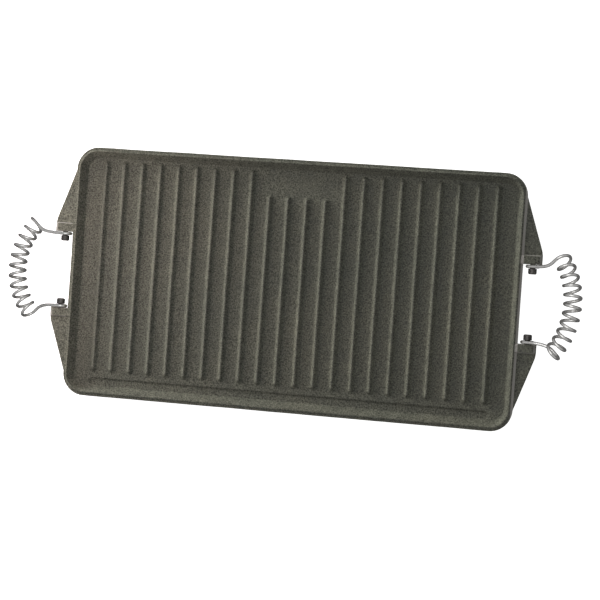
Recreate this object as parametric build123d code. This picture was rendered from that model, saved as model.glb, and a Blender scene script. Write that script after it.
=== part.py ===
from build123d import *
import math
import os

# Ribbed cast-iron grill plate with two spring-wire bail handles.
# Millimetres. Origin: centre of the plate's footprint, on the surface it stands on.
# +X along the plate towards the right-hand handle, +Y to the back edge, +Z up.

# ---- driving dimensions: plate casting ----
plate_length = 433.2  # over the parting ledge, along X
plate_width = 234.4  # over the parting ledge, along Y
plate_height = 17.0  # foot to rim top
ledge_z = 15.5  # parting ledge, just below the rim top
deck_z = 9.0  # cooking deck between the ribs
outline_radius = 21.0  # corner radius of the ledge outline
ledge_width = 2.2  # flat part of the ledge, outside the rim
foot_draft = 17.0  # degrees, outer wall below the ledge
rim_draft = 33.7  # degrees, outer step above the ledge
rim_width = 0.8  # flat top of the rim
rim_inner_run = 5.4  # how far the rim's inner wall slopes in on its way down
foot_width = 7.0  # perimeter foot under the plate
deck_thickness = 4.6

# ---- ribs and gutter ----
rib_count = 22
rib_pitch = 17.95
rib_base = 8.2
rib_crest = 1.4
rib_height = 3.2
rib_back_y = 106.0  # back end of the long ribs
rib_front_y = -94.5
short_ribs = (9, 10, 11, 12)  # counted from the left, beside the blank panel
panel_depth = 22.4  # how much sooner the short ribs stop at the back
gutter_length = 386.0
gutter_width = 8.4
gutter_depth = 1.4

# ---- lugs and wings that carry the handle pins ----
lug_face_y = 36.0  # face towards the finger gap
lug_back_y = 46.5
lug_end_x = 233.8
lug_bottom_z = 7.0
lug_top_z = 16.6
lug_part_z = 14.5  # parting line of the lug
lug_end_run = 2.0  # slope of the lug's outboard end
lug_back_run = 2.6
lug_face_run = 0.5
wing_tip_y = 96.5  # where the wing's edge runs out into the plate's side
wing_top_z = 15.0
wing_bottom_z = 11.0
wing_draft = 20.0  # degrees, the wing narrows downwards

# ---- handle pins ----
pin_x = 224.8
pin_z = 12.5
pin_diameter = 5.0
pin_head_diameter = 7.8
pin_head_length = 5.2
pin_neck_length = 3.6
pin_shank_length = 8.0

# ---- spring handles, in a frame on the pin axis: x outboard, y to the back, z up ----
wire_diameter = 3.0
eye_radius = 5.0  # wire centre, round the pin's neck
eye_sweep = 280.0  # degrees of wire round the pin
eye_y = lug_face_y - pin_neck_length / 2
coil_radius = 7.3  # wire centre, round the coil's own line
coil_turns = 10
coil_reach = 46.4  # pin axis to the coil's line at mid handle
bow_radius = 62.0  # the coil's line is an arc of this radius
bow_half_angle = 41.8  # degrees, each side of mid handle
coil_slant = 4.0  # degrees, the coil's line rises this much towards the front
points_per_turn = 10
leg_bend_x = 13.5  # where a leg leaves the plane of its eye
leg_mid_x = 22.5
leg_mid_y = 36.6
left_lift = -1.4  # degrees at rest: the coil lies on the surface
right_lift = 25.0  # degrees at rest: the handle is partly raised

rim_half_x = plate_length / 2 - ledge_width
rim_half_y = plate_width / 2 - ledge_width
rim_lean = (plate_height - ledge_z) * math.tan(math.radians(rim_draft))
tray_half_x = rim_half_x - rim_lean - rim_width
tray_half_y = rim_half_y - rim_lean - rim_width


def rounded_block(half_x, half_y, radius, z, height, draft=0.0):
    """A rounded rectangle at z, drawn up (or down) by height and narrowing by draft degrees."""
    outline = Plane.XY.offset(z) * RectangleRounded(2 * half_x, 2 * half_y, radius)
    return extrude(outline, amount=height, taper=draft)


def box_between(low, high):
    size = [b - a for a, b in zip(low, high)]
    centre = [(a + b) / 2 for a, b in zip(low, high)]
    return Pos(*centre) * Box(*size)


def make_shell():
    """Base and rim of the casting, hollowed to a shallow tray above and a recess below."""
    base = rounded_block(
        plate_length / 2, plate_width / 2, outline_radius, ledge_z, -ledge_z, foot_draft
    )
    rim = rounded_block(
        rim_half_x, rim_half_y, outline_radius - ledge_width, ledge_z,
        plate_height - ledge_z, rim_draft,
    )
    slope = math.degrees(math.atan(rim_inner_run / (plate_height - deck_z)))
    tray_radius = outline_radius - ledge_width - rim_lean - rim_width
    tray = rounded_block(
        tray_half_x, tray_half_y, tray_radius, plate_height, deck_z - plate_height, slope
    )
    foot_inset = ledge_z * math.tan(math.radians(foot_draft)) + foot_width
    recess = rounded_block(
        plate_length / 2 - foot_inset, plate_width / 2 - foot_inset,
        outline_radius - foot_inset, 0.0, deck_z - deck_thickness, 12.0,
    )
    return base + rim - tray - recess


def make_rib(back_y):
    """One rib: a long mound with sloped flanks and rounded, sloped ends."""
    length = back_y - rib_front_y
    foot = Plane.XY.offset(deck_z - 0.5) * SlotOverall(length, rib_base, rotation=90)
    flank = math.degrees(math.atan((rib_base - rib_crest) / 2 / (rib_height + 0.5)))
    rib = extrude(foot, amount=rib_height + 0.5, taper=flank)
    return Pos(0, (back_y + rib_front_y) / 2, 0) * rib


def rib_x(index):
    return (index - (rib_count - 1) / 2) * rib_pitch


def make_gutter():
    """Grease channel between the ribs' front ends and the front rim."""
    back_edge = -tray_half_y + rim_inner_run + gutter_width
    centre_y = back_edge - gutter_width / 2
    outline = Plane.XY.offset(deck_z - gutter_depth) * SlotOverall(gutter_length, gutter_width)
    return Pos(0, centre_y, 0) * extrude(outline, amount=gutter_depth + 0.5)


def rectangle_at(z, low_x, high_x, low_y, high_y):
    centre = ((low_x + high_x) / 2, (low_y + high_y) / 2, z)
    return Plane(origin=centre) * Rectangle(high_x - low_x, high_y - low_y)


def make_lug():
    """The right-back lug with its wing: drafted both ways from the parting line."""
    root_x = rim_half_x - rim_lean - 0.4
    middle = rectangle_at(lug_part_z, root_x, lug_end_x, lug_face_y, lug_back_y)
    top = rectangle_at(
        lug_top_z, root_x, lug_end_x - lug_end_run,
        lug_face_y + lug_face_run, lug_back_y - lug_back_run,
    )
    bottom = rectangle_at(
        lug_bottom_z, root_x, lug_end_x - 2.4, lug_face_y + lug_face_run, lug_back_y
    )
    block = loft([middle, top]) + loft([bottom, middle])
    web_outline = Polyline(
        (root_x, lug_back_y - 1.5),
        (lug_end_x, lug_back_y - 1.5),
        (lug_end_x, lug_back_y),
        (plate_length / 2 - 0.3, wing_tip_y),
        (root_x, wing_tip_y),
        close=True,
    )
    web_face = Plane.XY.offset(wing_top_z) * make_face(web_outline.edges())
    return block + extrude(web_face, amount=wing_bottom_z - wing_top_z, taper=wing_draft)


def four_ways(shape):
    """The same shape at all four pin positions, mirrored across the plate."""
    right = [shape, mirror(shape, Plane.XZ)]
    return right + [mirror(item, Plane.YZ) for item in right]


def make_bore():
    axis = Plane(origin=(pin_x, lug_face_y - 1.0, pin_z), z_dir=(0, 1, 0))
    return axis * Cylinder(
        pin_diameter / 2, pin_shank_length + 1.0, align=(Align.CENTER, Align.CENTER, Align.MIN)
    )


def make_plate():
    plate = make_shell()
    ribs = []
    for index in range(rib_count):
        back_y = rib_back_y - (panel_depth if index in short_ribs else 0.0)
        ribs.append(Pos(rib_x(index), 0, 0) * make_rib(back_y))
    plate = plate + ribs
    plate = plate - make_gutter()
    plate = plate + four_ways(make_lug())
    return plate - four_ways(make_bore())


def make_pin():
    """Headed pin at the right-back lug: shank in the bore, neck for the wire eye, round head."""
    radius = pin_diameter / 2
    head = pin_head_diameter / 2
    neck_end = pin_shank_length + pin_neck_length
    total = neck_end + pin_head_length
    profile = Polyline(
        (0, 0), (radius, 0), (radius, neck_end), (head, neck_end), (head, total), (0, total),
        close=True,
    )
    solid = revolve(make_face(profile.edges()), Axis.Y)
    crown = solid.edges().filter_by(GeomType.CIRCLE).sort_by(Axis.Y)[-1]
    solid = fillet([crown], 1.4)
    tip = solid.edges().filter_by(GeomType.CIRCLE).sort_by(Axis.Y)[0]
    solid = chamfer([tip], 0.5)
    return Pos(pin_x, lug_face_y + pin_shank_length, pin_z) * Rot(0, 0, 180) * solid


def coil_point(angle):
    """Corner of the wire's route at a coil angle in radians; 0 is outermost on the front turn."""
    bow = math.radians(bow_half_angle) * (angle / (math.pi * coil_turns) - 1.0)
    control_radius = coil_radius / math.cos(math.pi / points_per_turn)
    radius = bow_radius + control_radius * math.cos(angle)
    x = coil_reach - bow_radius + radius * math.cos(bow)
    y = radius * math.sin(bow)
    slant = -bow_radius * math.sin(bow) * math.tan(math.radians(coil_slant))
    return (x, y, slant + control_radius * math.sin(angle))


def handle_points():
    """Wire centre from the front eye's top, through the coil, to the back eye's top."""
    quarter = math.pi / 2
    last = 2 * math.pi * coil_turns + quarter
    steps = int(coil_turns * points_per_turn + points_per_turn / 2)
    coil = [coil_point(-quarter + (last + quarter) * i / steps) for i in range(steps + 1)]
    front = [
        (0, -eye_y, eye_radius),
        (leg_bend_x * 0.45, -eye_y, eye_radius * 0.9),
        (leg_bend_x, -eye_y - 0.2, eye_radius * 0.5),
        (leg_mid_x, -leg_mid_y, coil[0][2] * 0.55),
    ]
    back = [
        (leg_mid_x, leg_mid_y, coil[-1][2] + 0.3),
        (leg_bend_x, eye_y + 0.2, eye_radius),
        (0, eye_y, eye_radius),
    ]
    return [Vector(*p) for p in front + coil + back]


def corner_radii(points):
    """The largest tangent arc that each corner of the route allows."""
    radii = []
    for before, corner, after in zip(points, points[1:], points[2:]):
        run_in = corner - before
        run_out = after - corner
        half_turn = math.radians(run_in.get_angle(run_out)) / 2
        radii.append(0.45 * min(run_in.length, run_out.length) / math.tan(half_turn))
    return radii


def eye_arc(y, to_leg):
    """Open eye in the plane across the pin; to_leg says that the wire ends at the leg."""
    plane = Plane(origin=(0, y, 0), x_dir=(1, 0, 0), z_dir=(0, -1, 0))
    if to_leg:
        return plane * CenterArc((0, 0), eye_radius, 90 + eye_sweep, -eye_sweep)
    return plane * CenterArc((0, 0), eye_radius, 90, eye_sweep)


def make_handle():
    points = handle_points()
    radii = corner_radii(points)
    route = FilletPolyline(*points, radius=radii)
    path = Wire([eye_arc(-eye_y, True).edge(), *route.edges(), eye_arc(eye_y, False).edge()])
    section = Plane(origin=path @ 0, z_dir=path % 0) * Circle(wire_diameter / 2)
    wire = sweep(section, path=path)
    expected = path.length * math.pi * wire_diameter**2 / 4
    print("handle radii from", round(min(radii), 2), "to", round(max(radii), 2))
    print("handle wire length", round(path.length, 1), "volume ratio", wire.volume / expected)
    return wire


def place_handle(handle, lift):
    """Turn the handle up about the pin axis and carry it to the right-hand pins."""
    return Pos(pin_x, 0, pin_z) * Rot(0, -lift, 0) * handle


def write(shape, node):
    shape.label = node
    export_step(shape, f"parts/{node}.step")


os.makedirs("parts", exist_ok=True)
write(make_plate(), "grill_plate")
pin_names = ("right_rear", "right_front", "left_rear", "left_front")
for place, pin in zip(pin_names, four_ways(make_pin())):
    write(pin, f"handle_pin_{place}")
handle = make_handle()
write(place_handle(handle, right_lift), "spring_handle_right")
write(mirror(place_handle(handle, left_lift), Plane.YZ), "spring_handle_left")
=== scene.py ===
import math

import bpy
import numpy as np
from mathutils import Matrix, Vector, noise


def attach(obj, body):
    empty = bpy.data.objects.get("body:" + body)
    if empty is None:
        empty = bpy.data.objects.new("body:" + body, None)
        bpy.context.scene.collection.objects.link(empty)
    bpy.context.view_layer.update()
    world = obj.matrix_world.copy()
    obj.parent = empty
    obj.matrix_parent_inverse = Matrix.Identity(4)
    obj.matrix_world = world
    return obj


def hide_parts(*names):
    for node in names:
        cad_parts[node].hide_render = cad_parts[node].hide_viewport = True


# Ribbed cast-iron grill plate with two coiled-wire bail handles.
# Lengths are millimetres in the shared frame until a mesh is made. Meshes, the floor and the
# lights are in metres.

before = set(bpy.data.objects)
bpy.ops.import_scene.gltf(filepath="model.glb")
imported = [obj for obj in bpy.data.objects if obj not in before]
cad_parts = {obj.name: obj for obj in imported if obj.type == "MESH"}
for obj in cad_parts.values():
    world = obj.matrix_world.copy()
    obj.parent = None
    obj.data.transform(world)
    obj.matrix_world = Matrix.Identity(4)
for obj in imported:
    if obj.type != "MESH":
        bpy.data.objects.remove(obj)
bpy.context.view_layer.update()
MM = 0.001
noise.seed_set(4)  # without a seed, noise_vector changes from run to run
SHARP_ANGLE = math.radians(48)  # edges that turn by more than this stay crisp

# ---- plate casting: the CAD model's dimensions ----
# An inset is a distance inwards from the outline at the parting ledge.
HALF_X = 216.6
HALF_Y = 117.2
OUTLINE_RADIUS = 21.0
DECK_Z = 9.0
DECK_UNDERSIDE_Z = 4.4
LEDGE_Z = 15.5
RIM_Z = 17.0
LEDGE = 2.2
RIM_OUTER = 3.2  # inset of the rim top's outer edge
RIM_INNER = 4.0  # and of its inner edge
SLOPE_FOOT = 9.4  # inset where the rim's inner wall meets the deck
FOOT_OUTER = 4.74  # insets of the ring that the plate stands on
FOOT_INNER = 11.74
RECESS_FOOT = 12.68  # inset where the recess under the deck begins
SLOW_WANDER = 0.22  # unevenness of the casting's surface
QUICK_WANDER = 0.07
SLOW_WAVE = 0.021  # and how quickly it changes along the surface, per millimetre
QUICK_WAVE = 0.09
STANDING_HEIGHT = 6.0  # below this the unevenness fades, so that the plate stands flat

# ---- ribs and gutter ----
RIB_COUNT = 22
RIB_PITCH = 17.95
RIB_HALF_BASE = 4.1
RIB_HALF_CREST = 0.7
RIB_HEIGHT = 3.2
RIB_HOLLOW = 1.5  # over 1 makes the ribs' sides slightly hollow
RIB_FOOT_ROUND = 0.1  # roundings, as shares of a rib's side
RIB_CREST_ROUND = 0.12
RIB_BENDS = (0.0, 0.5, 0.75, 1.1, 1.6, 2.2, 2.9, 3.7, 4.4)  # mesh lines beside a rib's centre
RIB_BACK = 106.0
RIB_FRONT = -94.5
SHORT_RIBS = (9, 10, 11, 12)
PANEL_DEPTH = 22.4
GUTTER_HALF_LENGTH = 193.0
GUTTER_HALF_WIDTH = 4.2
GUTTER_Y = -103.6
GUTTER_DEPTH = 1.4
GUTTER_INNER_RUN = 1.2  # width of the gutter's sloping side next to the ribs
GUTTER_OUTER_RUN = 0.5  # and next to the rim
GUTTER_FLOOR_ROUND = 0.8  # roundings, as shares of the sloping side
GUTTER_EDGE_ROUND = 0.3

# ---- lugs and wings ----
LUG_FACE_Y = 36.0
LUG_BACK_Y = 46.5
LUG_END_X = 233.8
LUG_TOP_Z = 16.6
LUG_PART_Z = 14.5
LUG_BOTTOM_Z = 7.0
LUG_END_RUN = 2.0  # widths of the slopes round the lug's top
LUG_BACK_RUN = 2.6
LUG_BACK_FALL = 2.4  # how steeply its back slope falls
LUG_EDGE_ROUND = 1.2
WING_TOP_Z = 15.0
WING_BOTTOM_Z = 11.0
WING_TIP_Y = 96.5
WING_ROOT_X = 213.0
WING_TIP_X = 216.3
WING_DRAFT_RUN = 1.46
WING_EDGE_ROUND = 0.8
WING_CORNER_ROUND = 1.5  # where the lug's end turns into the wing's taper
WING_TAPER = (LUG_END_X - WING_TIP_X) / (WING_TIP_Y - LUG_BACK_Y)  # narrowing per millimetre
EDGE_STEPS = (0.0, 0.1, 0.3, 0.6, 1.0, 1.5)  # mesh lines beside a rounded edge

# ---- pins and wire handles ----
PIN_X = 224.8
PIN_Z = 12.5
PIN_RADIUS = 2.5
PIN_HEAD_RADIUS = 3.9
PIN_HEAD_LENGTH = 5.2
PIN_NECK_LENGTH = 3.6
PIN_SHANK_LENGTH = 8.0
WIRE_RADIUS = 1.5
EYE_RADIUS = 5.0
EYE_SWEEP = 280.0
EYE_Y = LUG_FACE_Y - PIN_NECK_LENGTH / 2
COIL_RADIUS = 7.3
COIL_TURNS = 10
COIL_REACH = 46.4
BOW_RADIUS = 62.0
BOW_HALF_ANGLE = 41.8
COIL_SLANT = 4.0
POINTS_PER_TURN = 10
LEG_BEND_X = 13.5
LEG_MID = (22.5, 36.6)
LEFT_LIFT = -1.4  # degrees that each handle stands above level at rest
RIGHT_LIFT = 25.0

# ---- light ----
FLOOR_GLOW = 0.95
WORLD_LIGHT = 0.38
WORLD_DARK = 0.12  # seen only by reflections that pass below the horizon

# ---- the view: steeply down from the right, with the camera rolled a little ----
AIM = Vector((7.24, -11.96, 4.0))
DISTANCE = 2500.0
LEAN_RIGHT = 0.271892  # radians from straight above, towards +X
LEAN_BACK = 0.021103  # and towards +Y
ROLL = 0.070665
FOCAL_LENGTH = 161.84
SENSOR = 36.0


# ---------------------------------------------------------------- small tools

def soft_max(a, b, k):
    """Larger of a and b, with the corner between them rounded over k."""
    near = np.maximum(k - np.abs(a - b), 0.0) / k
    return np.maximum(a, b) + near * near * k / 4


def soft_min(a, b, k):
    """Smaller of a and b, with the corner between them rounded over k."""
    return -soft_max(-a, -b, k)


def soft_clamp(t, foot, crest):
    """t held between 0 and 1, rounded over foot at the bottom and over crest at the top."""
    return soft_min(soft_max(t, 0.0 * t, foot), 1.0 + 0.0 * t, crest)


def unit(v):
    """v at length one."""
    return v / np.linalg.norm(v)


def rounded_profile(corners, steps):
    """Polyline through corners (inset, height, radius) with each inner corner turned into an arc."""
    points = [np.array(corners[0][:2], float)]
    for before, here, after in zip(corners, corners[1:], corners[2:]):
        corner = np.array(here[:2], float)
        back = unit(np.array(before[:2]) - corner)
        on = unit(np.array(after[:2]) - corner)
        angle = math.acos(float(back @ on))
        centre = corner + unit(back + on) * here[2] / math.sin(angle / 2)
        reach = here[2] / math.tan(angle / 2)
        first = corner + back * reach - centre
        last = corner + on * reach - centre
        turn = math.pi - angle
        for i in range(steps + 1):
            s = i / steps
            mix = first * math.sin((1 - s) * turn) + last * math.sin(s * turn)
            points.append(centre + mix / math.sin(turn))
    points.append(np.array(corners[-1][:2], float))
    return points


def sheet_faces(rows, columns):
    """Faces of two equal grids of points, the first facing one way and the second the other."""
    size = rows * columns
    faces = []
    for r in range(rows - 1):
        for c in range(columns - 1):
            a = r * columns + c
            b = a + size
            faces.append((a, a + 1, a + columns + 1, a + columns))
            faces.append((b, b + columns, b + columns + 1, b + 1))
    return faces


def ring_faces(rings, segments):
    """Faces of a skin over equal rings of points, with a flat cap on each end."""
    faces = []
    for i in range(rings - 1):
        a, b = i * segments, (i + 1) * segments
        for k in range(segments):
            n = (k + 1) % segments
            faces.append((a + k, a + n, b + n, b + k))
    faces.append(tuple(reversed(range(segments))))
    faces.append(tuple(range((rings - 1) * segments, rings * segments)))
    return faces


def flipped(faces):
    """The faces turned over, as a mirrored mesh needs them."""
    return [face[::-1] for face in faces]


def smooth(mesh):
    """Smooth shading that leaves sharp edges crisp."""
    mesh.shade_smooth()
    mesh.set_sharp_from_angle(angle=SHARP_ANGLE)


def make_object(name, points, faces, material, body, slot, nodes=()):
    """A mesh piece from points in millimetres, riding on a CAD body."""
    mesh = bpy.data.meshes.new(name)
    mesh.from_pydata([tuple(p) for p in np.asarray(points) * MM], [], faces)
    mesh.validate()
    mesh.materials.append(material)
    smooth(mesh)
    piece = bpy.data.objects.new(name, mesh)
    bpy.context.scene.collection.objects.link(piece)
    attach(piece, body)
    if nodes:
        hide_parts(*nodes)
    return piece


# ---------------------------------------------------------------- plate casting

def rib_centres():
    """X of every rib's centre line, from left to right."""
    return [(i - (RIB_COUNT - 1) / 2) * RIB_PITCH for i in range(RIB_COUNT)]


def deck_relief(x, y):
    """Height of the ribs above the deck, and of the gutter below it, at points x, y."""
    relief = np.zeros_like(x)
    for index, centre in enumerate(rib_centres()):
        back = RIB_BACK - (PANEL_DEPTH if index in SHORT_RIBS else 0.0)
        low, high = RIB_FRONT + RIB_HALF_BASE, back - RIB_HALF_BASE
        along = np.maximum(np.maximum(low - y, y - high), 0.0)
        away = np.hypot(x - centre, along)
        t = (RIB_HALF_BASE - away) / (RIB_HALF_BASE - RIB_HALF_CREST)
        hollowed = soft_clamp(t, RIB_FOOT_ROUND, RIB_CREST_ROUND) ** RIB_HOLLOW
        relief = np.maximum(relief, RIB_HEIGHT * hollowed)
    straight = GUTTER_HALF_LENGTH - GUTTER_HALF_WIDTH
    away = np.hypot(np.maximum(np.abs(x) - straight, 0.0), y - GUTTER_Y)
    run = np.where(y < GUTTER_Y, GUTTER_OUTER_RUN, GUTTER_INNER_RUN)
    t = (GUTTER_HALF_WIDTH - away) / run
    return relief - GUTTER_DEPTH * soft_clamp(t, GUTTER_EDGE_ROUND, GUTTER_FLOOR_ROUND)


def casting_wander(points):
    """Slow, small unevenness of a sand casting, as offsets in millimetres."""
    offsets = []
    for p in points:
        at = Vector(p)
        slow = noise.noise_vector(at * SLOW_WAVE) * SLOW_WANDER
        quick = noise.noise_vector(at * QUICK_WAVE + Vector((7.0, 3.0, 1.0))) * QUICK_WANDER
        offsets.append(slow + quick)
    return np.array(offsets)


def plate_lines():
    """Grid lines across the plate's core: close together where a rib starts, ends or bends."""
    core_x, core_y = HALF_X - OUTLINE_RADIUS, HALF_Y - OUTLINE_RADIUS
    xs = {core_x, -core_x}
    for centre in rib_centres():
        xs.update(centre + s for s in RIB_BENDS)
        xs.update(centre - s for s in RIB_BENDS)
        xs.add(centre + RIB_PITCH / 2)
    xs = sorted(x for x in xs if abs(x) <= core_x)
    ys = set(np.linspace(-core_y, core_y, 25))
    short_back = RIB_BACK - PANEL_DEPTH
    for s in np.arange(0.0, 5.6, 0.7):  # across the ribs' rounded ends
        ys.add(short_back + 0.5 - s)
        ys.add(RIB_FRONT - 0.5 + s)
    ys = sorted(y for y in ys if abs(y) <= core_y)
    return np.array(xs), thin_out(ys, 0.3)


def thin_out(values, gap):
    """The sorted values without those that lie closer together than gap."""
    kept = [values[0]]
    for value in values[1:-1]:
        if value - kept[-1] > gap and values[-1] - value > gap:
            kept.append(value)
    return np.array(kept + [values[-1]])


def plate_rings():
    """Cross-section of the plate's edge, from the recess over the foot and the rim to the deck."""
    corners = [
        (OUTLINE_RADIUS, DECK_UNDERSIDE_Z, 0),
        (RECESS_FOOT, DECK_UNDERSIDE_Z, 2.0),
        (FOOT_INNER, 0.0, 0.7),
        (FOOT_OUTER, 0.0, 1.0),
        (0.0, LEDGE_Z, 0.35),
        (LEDGE, LEDGE_Z, 0.35),
        (RIM_OUTER, RIM_Z, 0.3),
        (RIM_INNER, RIM_Z, 0.3),
        (SLOPE_FOOT, DECK_Z, 1.7),
        (OUTLINE_RADIUS, DECK_Z, 0),
    ]
    profile = rounded_profile(corners, steps=4)
    deck_insets = np.arange(profile[-2][0] + 0.6, OUTLINE_RADIUS - 0.3, 0.7)
    return profile[:-1] + [np.array((inset, DECK_Z)) for inset in deck_insets]


def plate_stations(xs, ys, corner_steps):
    """Places round the core, each with its grid line in x and in y and its outward direction."""
    nx, ny = len(xs), len(ys)
    stations = []

    def corner(ix, iy, start):
        for i in range(1, corner_steps):
            a = math.radians(start + 90 * i / corner_steps)
            stations.append((ix, iy, math.cos(a), math.sin(a)))

    stations += [(i, 0, 0, -1) for i in range(nx)]
    corner(nx - 1, 0, -90)
    stations += [(nx - 1, j, 1, 0) for j in range(ny)]
    corner(nx - 1, ny - 1, 0)
    stations += [(i, ny - 1, 0, 1) for i in reversed(range(nx))]
    corner(0, ny - 1, 90)
    stations += [(0, j, -1, 0) for j in reversed(range(ny))]
    corner(0, 0, 180)
    return stations


def edge_points(rings, core, outward):
    """Points of the plate's edge, ring after ring; those inside the rim carry the deck's relief."""
    rim_start = next(i for i, ring in enumerate(rings) if ring[1] > RIM_Z - 0.01)
    points = []
    for number, (inset, height) in enumerate(rings):
        at = core + outward * (OUTLINE_RADIUS - inset)
        z = np.full(len(core), height)
        if number > rim_start and inset > RIM_INNER + 1.5:
            z = z + deck_relief(at[:, 0], at[:, 1])
        points.append(np.column_stack([at, z]))
    return points


def edge_faces(levels):
    """Faces between closed loops of point numbers, with no point used twice in one face."""
    faces = []
    for lower, upper in zip(levels, levels[1:]):
        for s in range(len(lower)):
            t = (s + 1) % len(lower)
            quad = (lower[s], lower[t], upper[t], upper[s])
            kept = tuple(int(v) for v in dict.fromkeys(quad))
            if len(kept) > 2:
                faces.append(kept)
    return faces


def plate_mesh():
    """Closed mesh of the plate without its lugs: an edge ring round a core grid, top and bottom."""
    xs, ys = plate_lines()
    rings = plate_rings()[1:]
    stations = plate_stations(xs, ys, corner_steps=12)
    grid_x, grid_y = np.meshgrid(xs, ys, indexing="ij")
    flat_x, flat_y = grid_x.ravel(), grid_y.ravel()
    top = np.column_stack([flat_x, flat_y, DECK_Z + deck_relief(flat_x, flat_y)])
    under = np.column_stack([flat_x, flat_y, np.full(len(flat_x), DECK_UNDERSIDE_Z)])
    index = np.array([ix * len(ys) + iy for ix, iy, _, _ in stations])
    outward = np.array([station[2:] for station in stations])
    points = np.vstack([under, top] + edge_points(rings, top[index, :2], outward))
    size, count = len(top), len(stations)
    levels = [index] + [2 * size + k * count + np.arange(count) for k in range(len(rings))]
    faces = sheet_faces(len(xs), len(ys)) + edge_faces(levels + [size + index])
    return points + casting_wander(points) * standing_share(points)[:, None], faces


def standing_share(points):
    """Share of the unevenness that each point takes: none at the foot, all of it higher up."""
    return np.clip(points[:, 2] / STANDING_HEIGHT, 0.0, 1.0)


# ---------------------------------------------------------------- lugs and wings

def edge_drop(distance, radius):
    """How far a rounded edge has dropped at a distance from the outline."""
    inside = np.clip(radius - distance, 0.0, radius)
    return radius - np.sqrt(np.maximum(radius**2 - inside**2, 0.0))


def wing_top(x, y):
    """Height of the lug's top, with its end and back slopes, and of the lower wing behind it."""
    past_top = x - (LUG_END_X - LUG_END_RUN)
    end = LUG_TOP_Z - past_top * (LUG_TOP_Z - LUG_PART_Z) / LUG_END_RUN
    back = LUG_TOP_Z - (y - (LUG_BACK_Y - LUG_BACK_RUN)) * LUG_BACK_FALL
    lug = soft_min(end, back, LUG_EDGE_ROUND)
    lug = soft_min(lug, np.full_like(x, LUG_TOP_Z), LUG_EDGE_ROUND)
    return soft_max(lug, np.full_like(x, WING_TOP_Z), WING_EDGE_ROUND)


def wing_outer(y):
    """The wing's outboard edge: straight past the lug, then tapering to the plate's side."""
    taper = (y - LUG_BACK_Y) / (WING_TIP_Y - LUG_BACK_Y)
    straight = np.full_like(y, LUG_END_X)
    slant = LUG_END_X - taper * (LUG_END_X - WING_TIP_X)
    return soft_min(straight, slant, WING_CORNER_ROUND)


def wing_rows():
    """Y of each cross-section: close together at the lug's face and down its back slope."""
    rows = [LUG_FACE_Y + step for step in EDGE_STEPS]
    rows += list(np.arange(LUG_FACE_Y + 2.5, LUG_BACK_Y - 3.5, 1.0))
    rows += list(np.arange(LUG_BACK_Y - 3.3, LUG_BACK_Y + 2.5, 0.35))
    rows += list(np.arange(LUG_BACK_Y + 3.5, WING_TIP_Y + 2.5, 1.5))
    return np.array(rows)


def wing_section(y, outer):
    """Points over and under one cross-section, from the wing's root to its outer edge."""
    width = outer - WING_ROOT_X
    steps = np.array(EDGE_STEPS) * min(1.0, width / 4.0)
    inner = WING_ROOT_X + (width - steps[-1]) * np.linspace(0.0, 1.0, 19)
    xs = np.concatenate([inner, (outer - steps[:-1])[::-1]])
    ys = np.full_like(xs, y)
    lean = 1.0 / math.hypot(1.0, WING_TAPER) if y > LUG_BACK_Y else 1.0
    drop = edge_drop((outer - xs) * lean, WING_EDGE_ROUND)
    drop += edge_drop(ys - LUG_FACE_Y, WING_EDGE_ROUND)
    behind_lug = np.clip((y - (LUG_BACK_Y - 1.0)) / 1.5, 0, 1)
    bottom = LUG_BOTTOM_Z + (WING_BOTTOM_Z - LUG_BOTTOM_Z) * behind_lug
    under_x = xs - WING_DRAFT_RUN * (xs - WING_ROOT_X) / width
    over = np.column_stack([xs, ys, wing_top(xs, ys) - drop])
    return over, np.column_stack([under_x, ys, bottom + drop])


def wing_mesh(side_x, side_y):
    """One lug with its wing, as a closed mesh; side_x and side_y mirror it to its place."""
    rows = wing_rows()
    sections = [wing_section(y, outer) for y, outer in zip(rows, wing_outer(rows))]
    over, under = zip(*sections)
    points = np.vstack(over + under)
    down, across = len(rows), len(over[0])
    size = down * across
    faces = sheet_faces(down, across)
    loop = [(0, c) for c in range(across)]
    loop += [(r, across - 1) for r in range(1, down)]
    loop += [(down - 1, c) for c in reversed(range(across - 1))]
    loop += [(r, 0) for r in reversed(range(1, down - 1))]
    ring = [r * across + c for r, c in loop]
    for a, b in zip(ring, ring[1:] + ring[:1]):
        faces.append((b, a, a + size, b + size))
    points = points * (side_x, side_y, 1)
    if side_x * side_y < 0:
        faces = flipped(faces)
    return points + casting_wander(points), faces


def join_meshes(parts):
    """One list of points and faces from several."""
    points, faces, start = [], [], 0
    for part_points, part_faces in parts:
        points.append(part_points)
        faces += [tuple(v + start for v in f) for f in part_faces]
        start += len(part_points)
    return np.vstack(points), faces


def make_plate(material):
    """The whole casting: the plate's mesh with its four lugs and wings merged into it."""
    plate = make_object("grill_plate_casting", *plate_mesh(), material, "plate", "cast_iron",
                        ["grill_plate"])
    wings = join_meshes([wing_mesh(sx, sy) for sx in (1, -1) for sy in (1, -1)])
    wing_piece = make_object("wings", *wings, material, "plate", "cast_iron")
    union = plate.modifiers.new("wings", "BOOLEAN")
    union.operation = "UNION"
    union.solver = "EXACT"
    union.object = wing_piece
    bpy.context.view_layer.update()
    graph = bpy.context.evaluated_depsgraph_get()
    merged = bpy.data.meshes.new_from_object(plate.evaluated_get(graph), depsgraph=graph)
    plate.modifiers.remove(union)
    plate.data = merged
    bpy.data.objects.remove(wing_piece)
    smooth(merged)
    return plate


# ---------------------------------------------------------------- pins

def lathe(profile, axis_at, side_y, segments):
    """Surface of revolution about a line along Y: profile gives (distance along, radius)."""
    points = []
    for along, radius in profile:
        for k in range(segments):
            a = 2 * math.pi * k / segments
            points.append((axis_at[0] + radius * math.cos(a), side_y * along,
                           axis_at[1] + radius * math.sin(a)))
    faces = ring_faces(len(profile), segments)
    return np.array(points), flipped(faces) if side_y < 0 else faces


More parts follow.
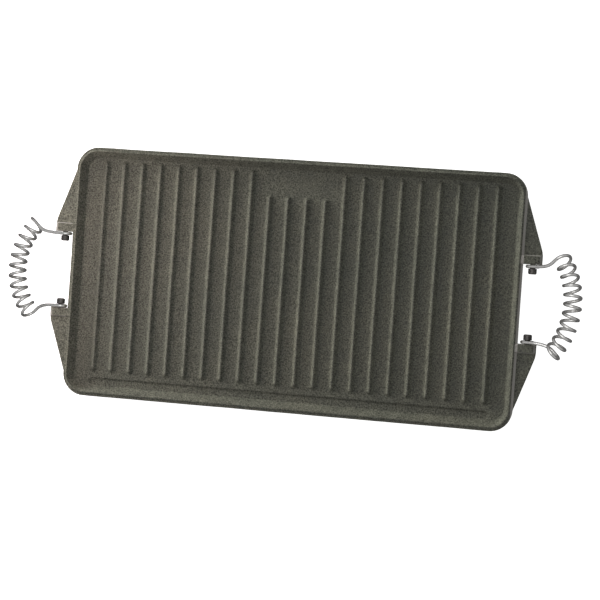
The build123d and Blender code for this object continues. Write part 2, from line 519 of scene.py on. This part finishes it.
def pin_profile():
    """Outline of a headed pin from its hidden end to its head, as (distance along, radius)."""
    inner = LUG_FACE_Y + PIN_SHANK_LENGTH
    neck = LUG_FACE_Y - PIN_NECK_LENGTH
    end = neck - PIN_HEAD_LENGTH
    corners = [
        (inner, 0.4, 0),
        (inner, PIN_RADIUS, 0.5),
        (neck, PIN_RADIUS, 0.25),
        (neck, PIN_HEAD_RADIUS, 0.5),
        (end, PIN_HEAD_RADIUS, 1.3),
        (end, 0.4, 0),
    ]
    return rounded_profile(corners, steps=5)


# ---------------------------------------------------------------- wire handles

def coil_point(angle):
    """Control point of the coil at an angle along its turns; the coil itself is bowed outwards."""
    bow = math.radians(BOW_HALF_ANGLE) * (angle / (math.pi * COIL_TURNS) - 1.0)
    control_radius = COIL_RADIUS / math.cos(math.pi / POINTS_PER_TURN)
    radius = BOW_RADIUS + control_radius * math.cos(angle)
    slant = -BOW_RADIUS * math.sin(bow) * math.tan(math.radians(COIL_SLANT))
    return (
        COIL_REACH - BOW_RADIUS + radius * math.cos(bow),
        radius * math.sin(bow),
        slant + control_radius * math.sin(angle),
    )


def wire_route():
    """Control points of the wire between its eyes, as in the CAD source."""
    quarter = math.pi / 2
    last = 2 * math.pi * COIL_TURNS + quarter
    steps = int(COIL_TURNS * POINTS_PER_TURN + POINTS_PER_TURN / 2)
    coil = [coil_point(-quarter + (last + quarter) * i / steps) for i in range(steps + 1)]
    front = [
        (0, -EYE_Y, EYE_RADIUS),
        (LEG_BEND_X * 0.45, -EYE_Y, EYE_RADIUS * 0.9),
        (LEG_BEND_X, -EYE_Y - 0.2, EYE_RADIUS * 0.5),
        (LEG_MID[0], -LEG_MID[1], coil[0][2] * 0.55),
    ]
    back = [
        (LEG_MID[0], LEG_MID[1], coil[-1][2] + 0.3),
        (LEG_BEND_X, EYE_Y + 0.2, EYE_RADIUS),
        (0, EYE_Y, EYE_RADIUS),
    ]
    return np.array(front + coil + back)


def spline_through(route, samples):
    """Quadratic B-spline with the route as control points, starting and ending on its ends."""
    line = []
    last = len(route) - 2
    for i in range(1, last + 1):
        start = route[0] if i == 1 else (route[i - 1] + route[i]) / 2
        end = route[-1] if i == last else (route[i] + route[i + 1]) / 2
        for k in range(samples):
            t = k / samples
            line.append((1 - t) ** 2 * start + 2 * t * (1 - t) * route[i] + t**2 * end)
    line.append(route[-1])
    return line


def eye_points(y):
    """Open eye round the pin, starting at the top where the leg leaves it."""
    angles = np.radians(np.linspace(90, 90 + EYE_SWEEP, 57))
    return [np.array((EYE_RADIUS * math.cos(a), y, EYE_RADIUS * math.sin(a))) for a in angles]


def wire_line():
    """Centre line of one handle, from the end of one eye to the end of the other."""
    front = eye_points(-EYE_Y)[::-1]
    back = eye_points(EYE_Y)
    return np.array(front[:-1] + spline_through(wire_route(), samples=5) + back[1:])


def tube(line, radius, segments):
    """Round tube along a line, with a frame carried along it so that it never twists."""
    tangents = np.gradient(line, axis=0)
    tangents /= np.linalg.norm(tangents, axis=1)[:, None]
    side = unit(np.cross(tangents[0], (0.0, 1.0, 0.0)))
    points = []
    angles = np.linspace(0, 2 * math.pi, segments, endpoint=False)
    for at, along in zip(line, tangents):
        side = unit(side - along * (side @ along))
        other = np.cross(along, side)
        ring = np.outer(np.cos(angles), side) + np.outer(np.sin(angles), other)
        points.append(at + ring * radius)
    return np.vstack(points), ring_faces(len(line), segments)


def place_handle(points, lift, side):
    """Turns the handle up about the pin axis and carries it to its end of the plate."""
    a = math.radians(lift)
    x = points[:, 0] * math.cos(a) - points[:, 2] * math.sin(a)
    z = points[:, 0] * math.sin(a) + points[:, 2] * math.cos(a)
    return np.column_stack([(x + PIN_X) * side, points[:, 1], z + PIN_Z])


# ---------------------------------------------------------------- materials

class Nodes:
    """Short calls for building one material's node tree."""

    def __init__(self, name):
        self.material = bpy.data.materials.new(name)
        self.material.use_nodes = True
        self.tree = self.material.node_tree
        self.shader = self.tree.nodes["Principled BSDF"]

    def add(self, kind, **settings):
        """A new node, with each setting put on the node or on its input of that name."""
        node = self.tree.nodes.new(kind)
        for key, value in settings.items():
            if hasattr(node, key):
                setattr(node, key, value)
            else:
                node.inputs[key.replace("_", " ")].default_value = value
        return node

    def link(self, source, target):
        self.tree.links.new(source, target)

    def noise(self, scale, detail=3.0, roughness=0.55, vector=None):
        node = self.add("ShaderNodeTexNoise", Scale=scale, Detail=detail, Roughness=roughness)
        self.link(vector or self.place(), node.inputs["Vector"])
        return node.outputs["Fac"]

    def place(self):
        return self.add("ShaderNodeTexCoord").outputs["Object"]

    def x_and_z(self):
        """The X and Z of a point on the object, in metres."""
        split = self.add("ShaderNodeSeparateXYZ")
        self.link(self.place(), split.inputs["Vector"])
        return split.outputs["X"], split.outputs["Z"]

    def spread(self, value, low, high, to_low, to_high):
        """value carried from the range low..high to the range to_low..to_high, clamped."""
        node = self.add("ShaderNodeMapRange")
        for name, number in (("From Min", low), ("From Max", high),
                             ("To Min", to_low), ("To Max", to_high)):
            node.inputs[name].default_value = number
        self.link(value, node.inputs["Value"])
        return node.outputs["Result"]

    def math(self, operation, a, b):
        node = self.add("ShaderNodeMath", operation=operation)
        for socket, value in zip(node.inputs, (a, b)):
            if isinstance(value, (int, float)):
                socket.default_value = value
            else:
                self.link(value, socket)
        return node.outputs["Value"]

    def ramp(self, value, stops):
        """Colour ramp over value, from stops of (position, colour)."""
        node = self.add("ShaderNodeValToRGB")
        elements = node.color_ramp.elements
        while len(elements) < len(stops):
            elements.new(0.5)
        for element, (position, colour) in zip(elements, stops):
            element.position = position
            element.color = (*colour, 1.0)
        self.link(value, node.inputs["Fac"])
        return node.outputs["Color"]

    def mix(self, factor, a, b, blend="MIX"):
        node = self.add("ShaderNodeMix", data_type="RGBA", blend_type=blend)
        for socket, value in ((node.inputs[0], factor), (node.inputs[6], a), (node.inputs[7], b)):
            if isinstance(value, (int, float)):
                socket.default_value = value
            elif isinstance(value, tuple):
                socket.default_value = (*value, 1.0)
            else:
                self.link(value, socket)
        return node.outputs[2]

    def bump(self, heights):
        """Chained bumps, each (height socket, strength, distance in metres)."""
        normal = None
        for height, strength, distance in heights:
            node = self.add("ShaderNodeBump", Strength=strength, Distance=distance)
            self.link(height, node.inputs["Height"])
            if normal is not None:
                self.link(normal, node.inputs["Normal"])
            normal = node.outputs["Normal"]
        self.link(normal, self.shader.inputs["Normal"])


def right_ledge_painted_highlight(n):
    """Mask of the right-hand ledge strip, lightened as a painted highlight as if it caught light
    from the right.
    """
    x, z = n.x_and_z()
    inner = n.spread(x, (HALF_X - LEDGE - 0.3) * MM, (HALF_X - LEDGE + 0.2) * MM, 0.0, 0.85)
    outer = n.spread(x, (HALF_X + 0.2) * MM, (HALF_X + 0.5) * MM, 1.0, 0.0)
    above = n.spread(z, (LEDGE_Z - 0.5) * MM, (LEDGE_Z - 0.3) * MM, 0.0, 1.0)
    return n.math("MULTIPLY", n.math("MULTIPLY", inner, outer), above)


def lug_slopes_painted_highlight(n):
    """Mask of the slopes round the lugs' tops, lightened a little as a painted highlight."""
    x, z = n.x_and_z()
    reach = n.math("ABSOLUTE", x, 0.0)
    outside = n.spread(reach, (HALF_X + 0.2) * MM, (HALF_X + 1.0) * MM, 0.0, 0.75)
    above = n.spread(z, (WING_TOP_Z + 0.25) * MM, (WING_TOP_Z + 0.5) * MM, 0.0, 1.0)
    below = n.spread(z, (LUG_TOP_Z - 0.35) * MM, (LUG_TOP_Z - 0.1) * MM, 1.0, 0.0)
    return n.math("MULTIPLY", n.math("MULTIPLY", outside, above), below)


def cast_iron():
    """Dry, sand-cast iron: mottled grey-green to brown, coarse grained, with convex edges lightened
    partly as wear and partly as a painted highlight, and painted highlights on the right-hand ledge
    and round the lugs' tops.
    """
    n = Nodes("cast_iron")
    broad = n.noise(9.0, 3.0, 0.6)
    mottle = n.noise(90.0, 4.0, 0.6)
    grain = n.noise(760.0, 2.0, 0.6)
    pits = n.noise(1500.0, 1.0, 0.5)
    base = n.ramp(broad, [(0.3, (0.082, 0.0865, 0.0705)), (0.7, (0.0985, 0.0995, 0.079))])
    spots = n.ramp(mottle, [(0.3, (0.84, 0.84, 0.84)), (0.7, (1.12, 1.11, 1.09))])
    colour = n.mix(1.0, base, spots, "MULTIPLY")
    specks = n.ramp(grain, [(0.32, (0.32, 0.32, 0.31)), (0.68, (1.78, 1.77, 1.73))])
    colour = n.mix(1.0, colour, specks, "MULTIPLY")
    # convex edges lightened: partly wear, partly a painted highlight along the crests
    edges = n.add("ShaderNodeNewGeometry").outputs["Pointiness"]
    wear_and_highlight = n.spread(edges, 0.515, 0.58, 0.0, 0.5)
    colour = n.mix(wear_and_highlight, colour, (0.200, 0.194, 0.170))
    # painted highlight: the right-hand ledge strip is lightened as if lit from the right
    colour = n.mix(right_ledge_painted_highlight(n), colour, (0.36, 0.345, 0.32))
    # painted highlight on the slopes round the lugs' tops
    colour = n.mix(lug_slopes_painted_highlight(n), colour, (0.26, 0.25, 0.23))
    n.link(colour, n.shader.inputs["Base Color"])
    n.link(n.spread(mottle, 0.3, 0.7, 0.60, 0.78), n.shader.inputs["Roughness"])
    n.shader.inputs["Specular IOR Level"].default_value = 0.35
    n.bump([(mottle, 0.3, 0.0006), (grain, 0.75, 0.0005), (pits, 0.5, 0.0002)])
    return n.material


def dark_steel():
    """Pins: darkened steel, rubbed brighter on its edges."""
    n = Nodes("pin_steel")
    mottle = n.noise(420.0, 4.0, 0.6)
    fine = n.noise(2400.0, 2.0, 0.5)
    colour = n.ramp(mottle, [(0.35, (0.045, 0.042, 0.040)), (0.7, (0.15, 0.143, 0.135))])
    edges = n.add("ShaderNodeNewGeometry").outputs["Pointiness"]
    colour = n.mix(n.spread(edges, 0.52, 0.62, 0.0, 0.7), colour, (0.42, 0.40, 0.38))
    n.link(colour, n.shader.inputs["Base Color"])
    n.shader.inputs["Metallic"].default_value = 0.9
    n.link(n.spread(mottle, 0.3, 0.7, 0.32, 0.55), n.shader.inputs["Roughness"])
    n.bump([(mottle, 0.25, 0.0002), (fine, 0.3, 0.0001)])
    return n.material


def bright_wire():
    """Plated spring wire: bright, with faint drawing marks and dull patches."""
    n = Nodes("handle_wire")
    smudge = n.noise(180.0, 4.0, 0.6)
    fine = n.noise(2600.0, 2.0, 0.5)
    colour = n.ramp(smudge, [(0.3, (0.80, 0.79, 0.77)), (0.7, (0.97, 0.96, 0.94))])
    n.link(colour, n.shader.inputs["Base Color"])
    n.shader.inputs["Metallic"].default_value = 1.0
    n.link(n.spread(smudge, 0.3, 0.7, 0.22, 0.36), n.shader.inputs["Roughness"])
    n.bump([(fine, 0.2, 0.00008)])
    return n.material


def pale_floor():
    """Nearly white floor with a faint cloud, glowing a little so that it stays white."""
    n = Nodes("pale_floor")
    cloud = n.noise(1.5, 2.0, 0.5)
    colour = n.ramp(cloud, [(0.3, (0.90, 0.90, 0.90)), (0.7, (0.93, 0.93, 0.93))])
    n.link(colour, n.shader.inputs["Base Color"])
    n.shader.inputs["Roughness"].default_value = 0.9
    n.shader.inputs["Emission Color"].default_value = (1.0, 1.0, 1.0, 1.0)
    n.shader.inputs["Emission Strength"].default_value = FLOOR_GLOW
    return n.material


# ---------------------------------------------------------------- stage

def make_floor():
    """Square floor under the object, left out of reflections."""
    mesh = bpy.data.meshes.new("floor")
    half = 6.0
    mesh.from_pydata([(-half, -half, 0), (half, -half, 0), (half, half, 0), (-half, half, 0)],
                     [], [(0, 1, 2, 3)])
    mesh.materials.append(pale_floor())
    floor = bpy.data.objects.new("floor", mesh)
    bpy.context.scene.collection.objects.link(floor)
    floor.visible_glossy = False


def area_light(name, location, target, size, watts, colour=(1.0, 1.0, 1.0)):
    """Softbox of size (width, height) in metres, hidden from the camera and from reflections."""
    data = bpy.data.lights.new(name, "AREA")
    data.shape = "RECTANGLE"
    data.size, data.size_y = size
    data.energy = watts
    data.color = colour
    lamp = bpy.data.objects.new(name, data)
    lamp.location = location
    direction = Vector(target) - Vector(location)
    lamp.rotation_euler = direction.to_track_quat("-Z", "Y").to_euler()
    lamp.visible_camera = False
    lamp.visible_glossy = False
    bpy.context.scene.collection.objects.link(lamp)
    return lamp


def make_world():
    """Even pale sky above the horizon, dark below it."""
    world = bpy.data.worlds.new("studio")
    world.use_nodes = True
    tree = world.node_tree
    background = tree.nodes["Background"]
    direction = tree.nodes.new("ShaderNodeTexCoord").outputs["Generated"]
    split = tree.nodes.new("ShaderNodeSeparateXYZ")
    tree.links.new(direction, split.inputs["Vector"])
    ramp = tree.nodes.new("ShaderNodeMapRange")
    for name, number in (("From Min", -0.05), ("From Max", 0.15),
                         ("To Min", WORLD_DARK), ("To Max", WORLD_LIGHT)):
        ramp.inputs[name].default_value = number
    tree.links.new(split.outputs["Z"], ramp.inputs["Value"])
    tree.links.new(ramp.outputs["Result"], background.inputs["Strength"])
    background.inputs["Color"].default_value = (1.0, 1.0, 1.0, 1.0)
    bpy.context.scene.world = world


def make_lights():
    """Low key light from the left, a small warm one near it, and a card that only reflects."""
    area_light("low_key", (-1.9, 1.1, 0.42), (0.0, 0.0, 0.0), (2.0, 0.6), 86.0)
    area_light("near_left", (-0.32, 0.04, 0.21), (-0.2, 0.0, 0.0), (0.12, 0.2), 0.62,
               (1.0, 0.84, 0.85))
    card = area_light("top_card", (0.1, 0.1, 1.0), (0.0, 0.0, 0.0), (0.8, 0.8), 2.6)
    card.visible_glossy = True
    card.visible_diffuse = False
    make_world()


def make_camera():
    """Camera on the line that leans from AIM, turned about that line by ROLL."""
    back = Vector((math.tan(LEAN_RIGHT), math.tan(LEAN_BACK), 1.0)).normalized()
    right = Vector((0, 1, 0)).cross(back).normalized()
    up = back.cross(right)
    rolled_right = right * math.cos(ROLL) + up * math.sin(ROLL)
    rolled_up = up * math.cos(ROLL) - right * math.sin(ROLL)
    turn = Matrix((rolled_right, rolled_up, back)).transposed().to_4x4()
    data = bpy.data.cameras.new("camera")
    data.sensor_width = SENSOR
    data.lens = FOCAL_LENGTH
    data.clip_start = 0.05
    data.clip_end = 50.0
    camera = bpy.data.objects.new("camera", data)
    camera.matrix_world = Matrix.Translation((AIM + back * DISTANCE) * MM) @ turn
    bpy.context.scene.collection.objects.link(camera)
    bpy.context.scene.camera = camera


# ---------------------------------------------------------------- build

def make_pin(side_x, side_y, place_name, material):
    """One headed pin in its lug."""
    points, faces = lathe(pin_profile(), (PIN_X * side_x, PIN_Z), side_y, segments=40)
    make_object(f"headed_pin_{place_name}", points, faces, material, "plate",
                "pin_steel", [f"handle_pin_{place_name}"])


def make_handle(side_x, lift, side_name, material):
    """One wire handle on its pins, lifted to its rest pose."""
    points, faces = tube(wire_line(), WIRE_RADIUS, segments=14)
    if side_x < 0:
        faces = flipped(faces)
    make_object(f"coiled_handle_{side_name}", place_handle(points, lift, side_x), faces, material,
                f"handle_{side_name}", "handle_wire", [f"spring_handle_{side_name}"])


iron, steel, wire = cast_iron(), dark_steel(), bright_wire()
make_plate(iron)
for side_x, side_name, lift in ((1, "right", RIGHT_LIFT), (-1, "left", LEFT_LIFT)):
    for side_y, end_name in ((1, "rear"), (-1, "front")):
        make_pin(side_x, side_y, f"{side_name}_{end_name}", steel)
    make_handle(side_x, lift, side_name, wire)
make_floor()
make_lights()
make_camera()
bpy.context.scene.view_settings.view_transform = "Standard"
